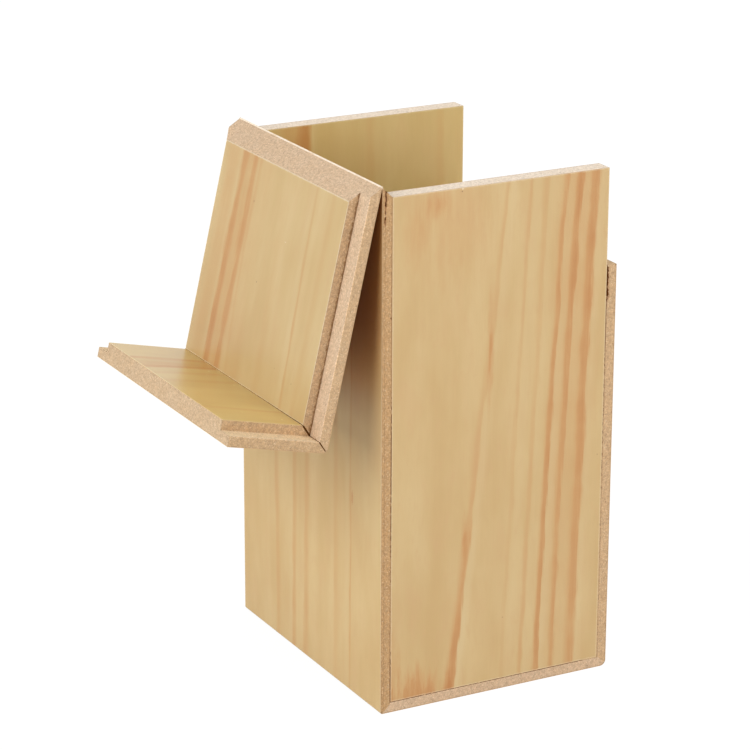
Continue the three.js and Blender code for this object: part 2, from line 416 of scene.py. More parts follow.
def on_panel(graph, origin, across, along):
    """Outputs in millimetres across and along a panel."""
    place = in_millimetres(graph, -origin * PER_METRE)
    return graph.dot(place, across), graph.dot(place, along)


# Noise in the print: rates per millimetre across and along the grain, its own seed, detail, roughness
Layer = namedtuple("Layer", "across_rate along_rate seed detail roughness", defaults=(0.5,))
WANDER = Layer(0.04, 0.018, 0.5, 3)
CLOUDS = Layer(0.05, 0.016, 0, 3)
BANDS = Layer(0.13, 0.014, 7, 3)
BLUSH = Layer(0.11, 0.03, 13, 3)
DAPPLE = Layer(0.35, 0.11, 23, 3, 0.6)
HAIRS = Layer(0.9, 0.05, 41, 3, 0.6)
FINE = Layer(1.5, 0.03, 3, 3, 0.6)
HAIRLINES = Layer(4.0, 0.15, 5, 2)
STAIN_OUTLINE = Layer(0.3, 0.045, 0, 4, 0.6)
MARK_OUTLINE = Layer(1.6, 1.6, 0, 2)
BORDER_OUTLINE = Layer(0.8, 0.8, 0, 3)


def layer_noise(graph, across, along, layer, seed):
    place = graph.vector(across * layer.across_rate, along * layer.along_rate, seed + layer.seed)
    return graph.noise(place, detail=layer.detail, roughness=layer.roughness)


def border_distance(graph, panel, across, along):
    """Millimetres to the nearest border of the panel."""
    nearest = across - panel.low[0]
    for gap in (panel.high[0] - across, along - panel.low[1], panel.high[1] - along):
        nearest = graph.math("MINIMUM", nearest, gap)
    return nearest


def ellipse_reach(graph, across, along, spot):
    """0 at the spot's middle and 1 on its outline."""
    side = (across - spot.across) / spot.wide
    rise = (along - spot.along) / spot.tall
    return graph.math("SQRT", side * side + rise * rise)


def blotch_depth(graph, across, along, blotch, seed):
    """A soft stain with an outline that runs out along the grain."""
    ragged = layer_noise(graph, across, along, STAIN_OUTLINE, seed) * 1.9
    reach = ragged + ellipse_reach(graph, across, along, blotch)
    return graph.ranged(reach, 1.95, 0.9) * blotch.strength


def add_marks(graph, colour, across, along, marks):
    """Small chips and specks with uneven outlines."""
    for index, mark in enumerate(marks):
        ragged = layer_noise(graph, across, along, MARK_OUTLINE, index) * 1.4
        reach = ragged + ellipse_reach(graph, across, along, mark)
        colour = graph.mix(graph.ranged(reach, 1.75, 1.2, 0, mark.share), colour, mark.colour)
    return colour


# The shade of a neighbouring face: how far it reaches, how open a place is where it starts and where it is
# full, and its colour factors at shares of its depth
SHADE_REACH = 70 * MM
SHADE_START = 0.64
SHADE_FULL = 0.34
SHADE_STOPS = (
    (0, (1, 1, 1, 1)),
    (0.3, (0.98, 0.84, 0.75, 1)),
    (0.7, (0.7, 0.49, 0.34, 1)),
    (1, (0.58, 0.33, 0.18, 1)),
)


def shaded(graph, colour, shade):
    """The colour, darker and warmer where another face is close."""
    openness = graph.made("ShaderNodeAmbientOcclusion", {"Distance": SHADE_REACH}, "AO", samples=8)
    depth = graph.ranged(openness, SHADE_START, SHADE_FULL) * shade
    return graph.mix(1, colour, graph.ramp(depth, SHADE_STOPS), blend="MULTIPLY")


GRAIN_WANDER = 2.8
CLOUD_SHARE = 0.75
MOST_BRIGHT = 0.6
FIBRE_SWING = 0.05


def ground_colour(graph, across, along, seed):
    """The print between the grain lines: pale and tan clouds with a rosy dapple."""
    clouds = layer_noise(graph, across, along, CLOUDS, seed)
    bands = layer_noise(graph, across, along, BANDS, seed)
    tone = clouds * CLOUD_SHARE + bands * (1 - CLOUD_SHARE)
    colour = graph.mix(graph.ranged(tone, 0.3, 0.7), TAN, PALE)
    for layer, low, most in ((BLUSH, 0.48, 0.45), (DAPPLE, 0.5, 0.4)):
        rosy = graph.ranged(layer_noise(graph, across, along, layer, seed), low, 0.75, 0, most)
        colour = graph.mix(rosy, colour, ROSY)
    return colour


def add_grain(graph, colour, depth, pale):
    """The pale bands beside the grain lines, and the darkening of lines and stains."""
    colour = graph.mix(graph.math("MINIMUM", pale, MOST_BRIGHT), colour, BRIGHT)
    colour = graph.mix(graph.ranged(depth, 0, 0.55, smooth=False), colour, STREAK_SOFT)
    return graph.mix(graph.ranged(depth, 0.45, 1.1, smooth=False), colour, STREAK_DARK)


def add_borders(graph, colour, panel, across, along, worn, seed):
    """The sheet's borders worn pale, and its cut edges."""
    ragged = layer_noise(graph, across, along, BORDER_OUTLINE, seed) * -0.9
    reach = ragged + border_distance(graph, panel, across, along)
    colour = graph.mix(graph.ranged(reach, 0.25, -0.3, 0, worn), colour, WORN)
    outwards = abs(graph.facing(panel.across.cross(panel.along)))
    return graph.mix(graph.ranged(outwards, 0.6, 0.3), colour, CUT_EDGE)


def film_colour(graph, panel, streaks, blotches, marks, look, seed):
    """The sheet's colour, its fine fibres and hairlines, and how dark the grain lines are."""
    across, along = on_panel(graph, panel.origin, panel.across, panel.along)
    share = graph.ranged(along, panel.low[1], panel.high[1], smooth=False)
    strayed = layer_noise(graph, across, along, WANDER, seed) * GRAIN_WANDER + (across - GRAIN_WANDER / 2)
    hairs = layer_noise(graph, across, along, HAIRS, seed)
    lines = [
        add_streak(graph, strayed, along, share, streak, seed * 10 + index * 3.7, hairs)
        for index, streak in enumerate(streaks)
    ]
    depths = [depth for depth, _ in lines]
    for index, blotch in enumerate(blotches):
        depths.append(blotch_depth(graph, across, along, blotch, seed + index))
    depth = sum(depths)
    colour = ground_colour(graph, strayed, along, seed)
    colour = add_grain(graph, colour, depth, sum(pale for _, pale in lines))
    fine = layer_noise(graph, strayed, along, FINE, seed)
    hairlines = layer_noise(graph, strayed, along, HAIRLINES, seed)
    for fibres in (fine, hairlines):
        colour = graph.brighten(colour, graph.swing(fibres, FIBRE_SWING))
    colour = add_marks(graph, colour, across, along, marks)
    colour = add_borders(graph, colour, panel, across, along, look.worn, seed)
    # The sheet's tint: partly the print's own, partly painted light fitted sheet by sheet.
    colour = graph.mix(1, colour, (*look.tint, 1), blend="MULTIPLY")
    if look.shade:
        colour = shaded(graph, colour, graph.ranged(along, *look.shade))
    return colour, fine, hairlines, depth


FILM_ROUGHNESS = 0.26
FILM_RELIEF = 0.05 * MM


def film_material(name, panel, streaks, blotches, marks, look, seed):
    """Printed wood-grain film with a satin face."""
    material, graph, surface = new_material(name)
    colour, fine, hairlines, depth = film_colour(graph, panel, streaks, blotches, marks, look, seed)
    graph.feed(surface["Base Color"], colour)
    graph.feed(surface["Specular IOR Level"], look.gloss)
    graph.feed(surface["Roughness"], depth * 0.05 + (fine * 0.12 + FILM_ROUGHNESS))
    graph.feed(surface["Normal"], graph.bump(fine * 0.6 + hairlines * 0.4, 0.25, FILM_RELIEF))
    return material


# Bare fibreboard

FLECK = srgb(128, 92, 62)
HAIR = srgb(226, 204, 172)
CRACK = srgb(76, 38, 8)
BRUISE = srgb(160, 112, 72)
FOOT_SHADE = srgb(124, 88, 52)
# A painted highlight for the flap's ledge
LEDGE_HIGHLIGHT = srgb(224, 198, 160)

# Each tone: colour of the edges turned to the sides, and of the faces turned any other way. Both are partly
# the board's own colour and partly painted light fitted board by board: the faces turned any other way come
# out lighter, and the side boards' pale second tone is a painted sheen on their top edges.
CASE_BACK_TONE = (srgb(182, 145, 103), srgb(204, 174, 137))
CASE_FRONT_TONE = (srgb(190, 157, 120), srgb(204, 174, 137))
CASE_BOTTOM_TONE = (srgb(197, 168, 138), srgb(204, 174, 137))
SIDE_TONE_AND_SHEEN = (srgb(194, 160, 121), srgb(228, 212, 193))
LID_TONE = (srgb(189, 157, 121), srgb(197, 170, 141))
FLAP_TONE = (srgb(185, 153, 116), srgb(190, 163, 131))

# Noise in the board: scale per millimetre, detail, roughness, distortion
Grain = namedtuple("Grain", "scale detail roughness distortion", defaults=(0.5, 0))
PATCHES = Grain(0.16, 2)
CLUMPS = Grain(0.9, 3, 0.6)
GRIT = Grain(2.2, 2, 0.6)
FRAYED_LIGHT_AND_SHADE = Grain(1.7, 2)
PALE_GRAINS = Grain(1.1, 1)
SPECKS = Grain(1.3, 1)
CURLS = Grain(0.5, 2, 0.5, 1.2)
CURL_PLACES = Grain(0.35, 1)
FOOT_OUTLINE = Grain(0.8, 3, 0.6)

Crack = namedtuple("Crack", "origin across along places half_width low high")

# How a crack tapers at its foot and top, its soft border, and the bruised fibres beside it, in millimetres
FOOT_TAPER = 1.5
TOP_TAPER = 0.6
CRACK_SOFT = 0.12
BRUISE_REACH = 1.1


def crack_depth(graph, crack, seed):
    """A dark split that follows a wavering line between two heights, and the bruised fibres beside it."""
    across, along = on_panel(graph, crack.origin, crack.across, crack.along)
    share = graph.ranged(along, crack.low, crack.high, smooth=False)
    line = share * (crack.places[1] - crack.places[0]) + crack.places[0]
    waver = graph.swing(graph.line_noise(along, 0.45, seed, detail=3), 1.2)
    width = graph.swing(graph.line_noise(along, 0.35, seed + 9), 1.6, middle=0.55) * crack.half_width
    foot = graph.ranged(along, crack.low, crack.low + FOOT_TAPER)
    ends = foot * graph.ranged(along, crack.high, crack.high - TOP_TAPER)
    gap = abs(across - (line + waver)) - width * ends
    return graph.ranged(gap, CRACK_SOFT, -CRACK_SOFT), graph.ranged(gap, BRUISE_REACH, 0) * ends


def add_cracks(graph, colour, cracks):
    for index, crack in enumerate(cracks):
        deep, beside = crack_depth(graph, crack, 1 + index * 5.3)
        colour = graph.mix(beside * 0.5, colour, BRUISE)
        colour = graph.mix(deep, colour, CRACK)
    return colour


# How close a place lies to a plane that it counts as on
NEAR = 0.02 * MM


def foot_depth(graph, place, origin, inward):
    """A ragged line of painted shade along the foot of the raised core, where it meets the ledge."""
    rise = graph.dot(in_millimetres(graph, -origin * PER_METRE), inward) - LEDGE / MM
    above = graph.math("GREATER_THAN", rise, -NEAR / MM)
    upright = graph.math("LESS_THAN", abs(graph.facing(inward)), 0.5)
    ragged = graph.noise(place, *FOOT_OUTLINE) * -3.2 + rise
    return graph.ranged(ragged, -0.55, -1.35, 0, 0.8) * (above * upright)


# The fuzz rounds the board's corners to the eye, and does so less on thin pieces.
FUZZ = 0.5 * MM
SMALL_FUZZ = 0.02 * MM
FIBRE_SHIFT = (40, 17, 29)
FIBRE_ROUGHNESS = 0.8
FIBRE_GLOSS = 0.15
FIBRE_RELIEF = 0.2 * MM


def board_tone(graph, place, tone, ledge):
    """The tone of edges and faces, a painted highlight on the ledge if there is one, and warmer and cooler
    patches.
    """
    # Faces turned away from the sides are lighter: partly the board's own colour, partly painted light.
    colour = graph.mix(graph.ranged(abs(graph.facing(X)), 0.35, 0.85), tone[1], tone[0])
    if ledge is not None:
        # A painted highlight on the ledge.
        colour = graph.mix(graph.ranged(graph.facing(ledge), 0.5, 0.9), colour, LEDGE_HIGHLIGHT)
    warmth = graph.swing(graph.noise(place, *PATCHES), 0.16)
    return graph.mix(1, colour, graph.vector(1, 1 - warmth * 0.4, 1 - warmth), blend="MULTIPLY")


def add_fibres(graph, colour, place):
    """Pale grains, dark specks and curled hairs."""
    colour = graph.mix(graph.ranged(graph.noise(place, *PALE_GRAINS), 0.6, 0.72, 0, 0.4), colour, HAIR)
    colour = graph.mix(graph.ranged(graph.noise(place, *SPECKS), 0.64, 0.76, 0, 0.5), colour, FLECK)
    curls = graph.ranged(abs(graph.noise(place, *CURLS) - 0.5), 0.012, 0.0, 0, 0.6)
    return graph.mix(curls * graph.ranged(graph.noise(place, *CURL_PLACES), 0.5, 0.62), colour, HAIR)


def fibre_material(name, tone, lightness=0, cracks=(), fuzz=FUZZ, foot=None, ledge=None):
    """Cut fibreboard: pressed fibres with dark specks, pale hairs and a fuzzy surface."""
    material, graph, surface = new_material(name)
    place = in_millimetres(graph, FIBRE_SHIFT)
    clumps = graph.noise(place, *CLUMPS)
    grit = graph.noise(place, *GRIT)
    rounded = graph.made("ShaderNodeBevel", {"Radius": fuzz}, "Normal", samples=4)
    level = graph.dot(rounded, graph.made("ShaderNodeNewGeometry", {}, "True Normal"))
    # Light and dark flecks near the corners: partly frayed fibre, partly painted light and shade where faces
    # meet.
    frayed_light_and_shade = graph.swing(graph.noise(place, *FRAYED_LIGHT_AND_SHADE), 2.4) * graph.ranged(level, 0.995, 0.9)
    colour = board_tone(graph, place, tone, ledge)
    for change in (graph.swing(clumps, 0.9, lightness), graph.swing(grit, 0.9), frayed_light_and_shade):
        colour = graph.brighten(colour, change)
    colour = add_fibres(graph, colour, place)
    if foot:
        # Painted shade in the corner at the foot of the lid's core.
        colour = graph.mix(foot_depth(graph, place, *foot), colour, FOOT_SHADE)
    graph.feed(surface["Base Color"], add_cracks(graph, colour, cracks))
    graph.feed(surface["Roughness"], grit * 0.15 + FIBRE_ROUGHNESS)
    graph.feed(surface["Specular IOR Level"], FIBRE_GLOSS)
    graph.feed(surface["Normal"], graph.bump(clumps * 0.6 + grit * 0.4, 0.4, FIBRE_RELIEF, Normal=rounded))
    return material


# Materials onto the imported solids

def dress(node, *materials):
    mesh = frame["nodes"][node].data
    mesh.materials.clear()
    for material in materials:
        mesh.materials.append(material)


CORNER = Vector((-HALF_WIDTH, BACK, 0))
LID_CORNER = HINGE - X * HALF_WIDTH
FLAP_CORNER = LID_CORNER + LID_ALONG * DEPTH
FRONT_CORNER = Vector((-HALF_WIDTH, FRONT, 0))

# How each sheet came out: its tint, partly the print's own and partly painted light fitted sheet by sheet,
# the gloss, how worn its borders are, and the millimetres along the sheet between which the shade beside a
# neighbouring face grows to its full depth, if it has any.
PLAIN = Look((1, 1, 1), 0.4, 0.35, None)
SIDE = Look((0.96, 0.99, 1.06), 0.5, 0.35, None)
BACK_SHEET = Look((0.98, 1.03, 1.12), 0.12, 0.35, (125, 190))
HIDDEN_LID = Look((1.03, 1.06, 1.1), 0.12, 0.35, (115, 50))
FAR = Look((1.01, 1.08, 0.98), 0.4, 0.35, None)
LID = Look((0.905, 0.975, 1.085), 0.25, 0.7, None)
FLAP = Look((1.1, 1.17, 0.98), 0.9, 0.7, None)

# Each film: node, corner where its pattern starts, across, along the grain, streaks, blotches, marks, look.
FILMS = (
    ("side_film_left_outer", CORNER, -Y, Z, SIDE_STREAKS, SIDE_BLOTCHES, SIDE_MARKS, SIDE),
    ("side_film_left_inner", CORNER, -Y, Z, None, (), (), PLAIN),
    ("side_film_right_inner", CORNER, -Y, Z, FAR_STREAKS, (), (), FAR),
    ("side_film_right_outer", CORNER, -Y, Z, None, (), (), PLAIN),
    ("back_film_outer", CORNER, X, Z, BACK_STREAKS, (), BACK_MARKS, BACK_SHEET),
    ("back_film_inner", CORNER, X, Z, None, (), (), PLAIN),
    ("bottom_film_outer", CORNER, X, -Y, None, (), (), PLAIN),
    ("bottom_film_inner", CORNER, X, -Y, None, (), (), PLAIN),
    ("front_film_outer", FRONT_CORNER, X, Z, None, (), (), PLAIN),
    ("front_film_inner", FRONT_CORNER, X, Z, None, (), (), PLAIN),
    ("lid_film_outer", LID_CORNER, X, LID_ALONG + LID_INWARD, None, (), (), HIDDEN_LID),
    ("lid_film_inner", LID_CORNER, X, LID_ALONG, LID_STREAKS, (), LID_MARKS, LID),
    ("flap_film_inner", FLAP_CORNER, X, LID_INWARD, FLAP_STREAKS, (), FLAP_MARKS, FLAP),
    ("hinge_fold", CORNER, X, Z, None, (), (), PLAIN),
)


def dress_films():
    for index, (node, corner, across, along, streaks, blotches, marks, look) in enumerate(FILMS):
        panel = make_panel(node, corner, across, along)
        lines = random_streaks(index, panel) if streaks is None else streaks
        dress(node, film_material(node, panel, lines, blotches, marks, look, seed=1.0 + index))


# The split near the top of the back board's near edge, and nibbled places along the side panel's gap
BACK_CRACKS = (
    Crack(CORNER, -Y, Z, (1.5, 1.8), 0.5, 227.5, 238.6),
    Crack(CORNER, -Y, Z, (1.3, 1.35), 0.4, 222.5, 227.2),
    Crack(CORNER, -Y, Z, (4.55, 4.55), 0.35, 181.0, 182.8),
    Crack(CORNER, -Y, Z, (4.6, 4.6), 0.3, 164.0, 165.8),
    Crack(CORNER, -Y, Z, (4.55, 4.6), 0.35, 148.4, 150.4),
)
FRONT_CRACKS = (
    Crack(CORNER, -Y, Z, (112.1, 112.0), 0.75, 174.0, 190.5),
)

# Each board: node, point of its outer face, inward direction, tone, cracks, whether its ledge border is worn
# round with a painted highlight.
BOARDS = (
    ("back_board", Vector((0, BACK, 0)), -Y, CASE_BACK_TONE, BACK_CRACKS, False),
    ("bottom_board", Vector((0, 0, 0)), Z, CASE_BOTTOM_TONE, (), False),
    ("front_board", Vector((0, FRONT, 0)), Y, CASE_FRONT_TONE, FRONT_CRACKS, False),
    ("side_board_left", Vector((-HALF_WIDTH, 0, 0)), X, SIDE_TONE_AND_SHEEN, (), False),
    ("side_board_right", Vector((HALF_WIDTH, 0, 0)), -X, SIDE_TONE_AND_SHEEN, (), False),
    ("lid_board", HINGE, LID_INWARD, LID_TONE, (), True),
    ("flap_board", FLAP_CORNER, -LID_ALONG, FLAP_TONE, (), True),
)
BORDER_HIGHLIGHT = 0.2
BORDER_WIDTH = 0.35 * MM
WELD_REACH = 0.005 * MM


def round_ledge_border(node, origin, inward):
    """Wears the long border between ledge and side edge round and gives it the second material, a painted
    highlight.
    """
    piece = frame["nodes"][node]
    mesh = piece.data
    weights = mesh.attributes.new("bevel_weight_edge", "FLOAT", "EDGE")
    for edge in mesh.edges:
        places = [mesh.vertices[index].co for index in edge.vertices]
        on_side = all(abs(abs(place.x) - HALF_WIDTH) < NEAR for place in places)
        on_ledge = all(abs((place - origin).dot(inward) - LEDGE) < NEAR for place in places)
        weights.data[edge.index].value = float(on_side and on_ledge)
    weld = piece.modifiers.new("weld", "WELD")
    weld.merge_threshold = WELD_REACH
    bevel = piece.modifiers.new("worn_border_highlight", "BEVEL")
    bevel.width = BORDER_WIDTH
    bevel.segments = 2
    bevel.limit_method = "WEIGHT"
    bevel.material = 1


def dress_boards():
    """Bare fibreboard, with painted shade along the foot of the lid's core and a painted highlight on the
    flap's ledge.
    """
    for node, origin, inward, tone, cracks, worn in BOARDS:
        foot = (origin, inward) if node == "lid_board" else None
        ledge = inward if node == "flap_board" else None
        fibre = fibre_material(node, tone, cracks=cracks, foot=foot, ledge=ledge)
        # The second material is the same fibreboard made lighter: a painted highlight on the rounded ledge
        # border.
        dress(node, fibre, fibre_material(node + "_border", tone, BORDER_HIGHLIGHT))
        if worn:
            round_ledge_border(node, origin, inward)


dress_films()
dress_boards()


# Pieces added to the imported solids

# Pieces over the boards' side faces stand proud of them by this share of the half width.
PROUD_SHARE = 1.0002
PROUD_ENDS = (-HALF_WIDTH * PROUD_SHARE, HALF_WIDTH * PROUD_SHARE)


def prism(name, outline, ends, material):
    """A solid with the outline of (y, z) points, running across the box between two places."""
    count = len(outline)
    places = [(x, y, z) for x in ends for y, z in outline]
    sides = [(i, (i + 1) % count, count + (i + 1) % count, count + i) for i in range(count)]
    faces = [tuple(range(count))[::-1], tuple(range(count, 2 * count)), *sides]
    mesh = bpy.data.meshes.new(name)
    mesh.from_pydata(places, [], faces)
    build = bmesh.new()
    build.from_mesh(mesh)
    bmesh.ops.recalc_face_normals(build, faces=build.faces)
    build.to_mesh(mesh)
    build.free()
    mesh.materials.append(material)
    piece = bpy.data.objects.new(name, mesh)
    bpy.context.scene.collection.objects.link(piece)
    return piece


def around_hinge(forward, inward, along, deep):
    """A (y, z) point at distances from the hinge line, in a board's own directions."""
    return (HINGE + forward * along + inward * deep).yz


# The film runs over the hinge line. Its case and lid lengths stop this far from the line.
HINGE_CUT = 0.9 * MM
FOLD_RADIUS = 0.24 * MM
FOLD_STEPS = 10

FOLD_TONE = srgb(230, 216, 196)
FOLD_ROUGHNESS = 0.5


def fold_material():
    """The film's unprinted back, seen along the fold."""
    material, graph, surface = new_material("film_back")
    place = in_millimetres(graph)
    grit = graph.noise(place, scale=0.9, detail=3)
    colour = graph.brighten(FOLD_TONE, graph.swing(grit, 0.2))
    printed = graph.ranged(graph.noise(place, scale=0.12), 0.5, 0.7, 0, 0.5)
    graph.feed(surface["Base Color"], graph.mix(printed, colour, TAN))
    graph.feed(surface["Roughness"], grit * 0.2 + FOLD_ROUGHNESS)
    return material


def add_hinge_film():
    """The film folded over the hinge line, with its back outwards."""
    first, last = math.pi, math.atan2(LID_INWARD.z, LID_INWARD.y)
    arc = []
    for step in range(FOLD_STEPS + 1):
        angle = first + (last - first) * step / FOLD_STEPS
        arc.append((HINGE.y + FOLD_RADIUS * math.cos(angle), HINGE.z + FOLD_RADIUS * math.sin(angle)))
    outline = [
        around_hinge(-Z, -Y, HINGE_CUT, 0),
        around_hinge(-Z, -Y, HINGE_CUT, FILM),
        *arc,
        around_hinge(LID_ALONG, LID_INWARD, HINGE_CUT, FILM),
        around_hinge(LID_ALONG, LID_INWARD, HINGE_CUT, 0),
        (HINGE.y, HINGE.z),
    ]
    hinge_film = prism("hinge_film", outline, (-HALF_WIDTH, HALF_WIDTH), fold_material())
    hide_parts("hinge_fold")
    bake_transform(hinge_film)


# How far the noses lie under the film and behind the mitre, and reach past the film's end
NOSE_CLEAR = 0.02 * MM
NOSE_BEHIND = 0.21 * MM
NOSE_REACH = 0.1 * MM
NOSE_TIP = 0.2 * MM


def add_nose(name, body, forward, inward, material):
    """Fibreboard that brings a mitred end up to the folded film."""
    face = FILM + NOSE_CLEAR
    far = HINGE_CUT + NOSE_REACH
    close = HINGE_CUT - NOSE_REACH
    outline = [
        around_hinge(forward, inward, far, face),
        around_hinge(forward, inward, far, far - NOSE_BEHIND),
        around_hinge(forward, inward, close, close - NOSE_BEHIND),
        around_hinge(forward, inward, face + NOSE_TIP, face),
    ]
    nose = prism(name, outline, PROUD_ENDS, material)
    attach(nose, body)


# Glue in the mitre at a bottom corner: its half width, its taper at both ends, how far it stops short of the
# ledge, and where it starts behind the bend of the outer film
MITRE_HALF = 0.35 * MM
MITRE_TAPER = 0.4 * MM
MITRE_SHORT = 0.05 * MM
BACK_BEND_END = 0.65 * MM
FRONT_BEND_END = 1.2 * MM


def both_sides(stations):
    """The stations along a mitre with the half width there, and back along the mitre's other side."""
    return *stations, *((reach, -half) for reach, half in reversed(stations) if half)


def add_mitre_glue(name, corner, bend_end, material):
    """Glue and dust in the mitre at a bottom corner, flush with the side faces."""
    toward = -math.copysign(1, corner)
    stations = (
        (bend_end, 0),
        (bend_end + MITRE_TAPER, MITRE_HALF),
        (LEDGE - MITRE_TAPER, MITRE_HALF),
        (LEDGE - MITRE_SHORT, 0),
    )
    outline = [(corner + toward * (reach + half), reach - half) for reach, half in both_sides(stations)]
    glue = prism(name, outline, PROUD_ENDS, material)
    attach(glue, "case")


# The mitre between lid and flap, up to the ledges and on to the inner films: name, stations along it in
# millimetres with the half width there, and how far its side faces lie from the middle.
LID_MITRES = (
    ("lid_mitre_outer_glue", ((0.75, 0), (1.2, 0.15), (4.69, 0.2)), HALF_WIDTH),
    ("lid_mitre_inner_glue", ((4.69, 0.3), (8.8, 0.3), (9.15, 0)), HALF_WIDTH - RABBET),
)


def add_lid_mitre_glue(name, stations, side, material):
    """Glue and dust in the mitre between lid and flap, flush with the side faces."""
    outline = [
        around_hinge(LID_ALONG, LID_INWARD, DEPTH - (reach + half) * MM, (reach - half) * MM)
        for reach, half in both_sides(stations)
    ]
    glue = prism(name, outline, (-side * PROUD_SHARE, side * PROUD_SHARE), material)
    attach(glue, "lid")


# The bead of glue in the corner between lid and flap: its size, how far it sinks into the films and stops
# short of the rabbets, and the millimetres from the near end over which it pales
BEAD_DARK = srgb(82, 50, 22)
BEAD_PALE = srgb(160, 124, 72)
BEAD = 0.25 * MM
BEAD_SUNK = 0.01 * MM
BEAD_SHORT = 0.1 * MM
BEAD_FADE = 70
GLUE_ROUGHNESS = 0.9


def bead_material():
    material, graph, surface = new_material("corner_bead")
    across = graph.dot(in_millimetres(graph, (HALF_WIDTH / MM, 0, 0)), X)
    uneven = graph.swing(graph.line_noise(across, 0.25, detail=3), 60)
    pale = graph.ranged(across + uneven, 0, BEAD_FADE)
    graph.feed(surface["Base Color"], graph.mix(pale, BEAD_DARK, BEAD_PALE))
    graph.feed(surface["Roughness"], GLUE_ROUGHNESS)
    graph.feed(surface["Specular IOR Level"], 0)
    return material


def add_corner_bead(material):
    """Glue pressed out along the inside corner between lid and flap, darkest at the near end."""
    corner = DEPTH - STRIP
    outline = [
        around_hinge(LID_ALONG, LID_INWARD, corner - BEAD, STRIP - BEAD_SUNK),
        around_hinge(LID_ALONG, LID_INWARD, corner + BEAD_SUNK, STRIP + BEAD),
        around_hinge(LID_ALONG, LID_INWARD, corner + BEAD, STRIP - BEAD),
    ]
    side = HALF_WIDTH - RABBET - BEAD_SHORT
    bead = prism("corner_bead", outline, (-side, side), material)
    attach(bead, "lid")


# The seam's glue: how far it clears the solids, sinks behind the side faces and runs in, and its width
SEAM_FILL = srgb(186, 150, 108)
SEAM_GAP_SHADE = srgb(100, 58, 16)
SEAM_CLEAR = 0.01 * MM
SEAM_SUNK = 0.04 * MM
SEAM_DEEP = 5 * MM
SEAM_WIDTH = 0.35 * MM
SEAM_GLOSS = 0.1

# How open each seam is: shares of the height or of the depth from the back, with openness there.
BACK_SEAM = ((0, 1), (0.09, 0.9), (0.13, 0.1), (0.26, 0.1), (0.34, 0.6), (0.53, 0.8), (0.59, 0.5), (0.67, 0))
FRONT_SEAM = ((0, 0), (0.33, 0.15), (0.4, 0.45), (0.61, 0.5), (0.65, 0.9), (0.8, 1))
BOTTOM_SEAM = ((0, 0.85), (0.3, 0.75), (0.6, 0.75), (0.88, 0.9), (0.91, 0))


def openness(graph, place, reach, stops):
    """How open a seam is at a place in millimetres along it, from its stops."""
    greys = [(share, (level, level, level, 1)) for share, level in stops]
    return graph.ramp(place / (reach / MM), greys)


def seam_material():
    """Glue and dust in the seam round a side board, with painted shade where the seam is open."""
    material, graph, surface = new_material("seam_glue")
    across, along = on_panel(graph, CORNER, -Y, Z)
    back = openness(graph, along, BACK_TOP, BACK_SEAM)
    front = openness(graph, along, BACK_TOP, FRONT_SEAM)
    bottom = openness(graph, across, DEPTH, BOTTOM_SEAM)
    in_front = graph.math("GREATER_THAN", across, DEPTH / MM / 2)
    in_bottom = graph.math("LESS_THAN", along, (LEDGE + SEAM_WIDTH) / MM)
    here = graph.mix(in_bottom, graph.mix(in_front, back, front), bottom)
    broken = graph.swing(graph.line_noise(across + along, 0.5, detail=4), 2, middle=0.5)
    gap = graph.ranged(here - broken, -0.15, 0.15)
    grit = graph.noise(in_millimetres(graph), scale=1.5)
    fill = graph.brighten(SEAM_FILL, graph.swing(grit, 0.6))
    # Where the seam is open, its dark colour is painted shade of the gap.
    graph.feed(surface["Base Color"], graph.mix(gap, fill, SEAM_GAP_SHADE))
    graph.feed(surface["Roughness"], GLUE_ROUGHNESS)
    graph.feed(surface["Specular IOR Level"], SEAM_GLOSS)
    return material


def add_seam_glue(hand, side, material):
    """The glue line between a side board and the strip folded round it."""
    low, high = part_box(f"side_board_{hand}")
    outer_back = BACK - LEDGE - SEAM_CLEAR
    outer_front = FRONT + LEDGE + SEAM_CLEAR
    inner_back = high.y + SEAM_CLEAR
    inner_front = low.y - SEAM_CLEAR
    outer_foot = LEDGE + SEAM_CLEAR
    inner_foot = low.z - SEAM_CLEAR
    outline = [
        (outer_back, high.z), (outer_back, outer_foot), (outer_front, outer_foot), (outer_front, FRONT_TOP),
        (inner_front, FRONT_TOP), (inner_front, inner_foot), (inner_back, inner_foot), (inner_back, high.z),
    ]
    face = side * (HALF_WIDTH - SEAM_SUNK)
    glue = prism(f"seam_{hand}_glue", outline, (face, face - side * SEAM_DEEP), material)
    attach(glue, "case")


GLUE_INSET = 0.03 * MM
INNER = STRIP - FILM

# The glue under each film of the strip: film, body, point on the film's back, directions along the film and
# to its board
GLUE_SHEETS = (
    ("back_film_outer", "case", Vector((0, BACK - FILM, 0)), Z, -Y),
    ("back_film_inner", "case", Vector((0, BACK - INNER, 0)), Z, Y),
    ("bottom_film_outer", "case", Vector((0, 0, FILM)), Y, Z),
    ("front_film_outer", "case", Vector((0, FRONT + FILM, 0)), Z, Y),
    ("front_film_inner", "case", Vector((0, FRONT + INNER, 0)), Z, -Y),
    ("lid_film_outer", "lid", HINGE + LID_INWARD * FILM, LID_ALONG, LID_INWARD),
    ("lid_film_outer", "lid", FLAP_CORNER - LID_ALONG * FILM, LID_INWARD, -LID_ALONG),
    ("lid_film_inner", "lid", HINGE + LID_INWARD * INNER, LID_ALONG, -LID_INWARD),
    ("flap_film_inner", "lid", FLAP_CORNER - LID_ALONG * INNER, LID_INWARD, LID_ALONG),
)


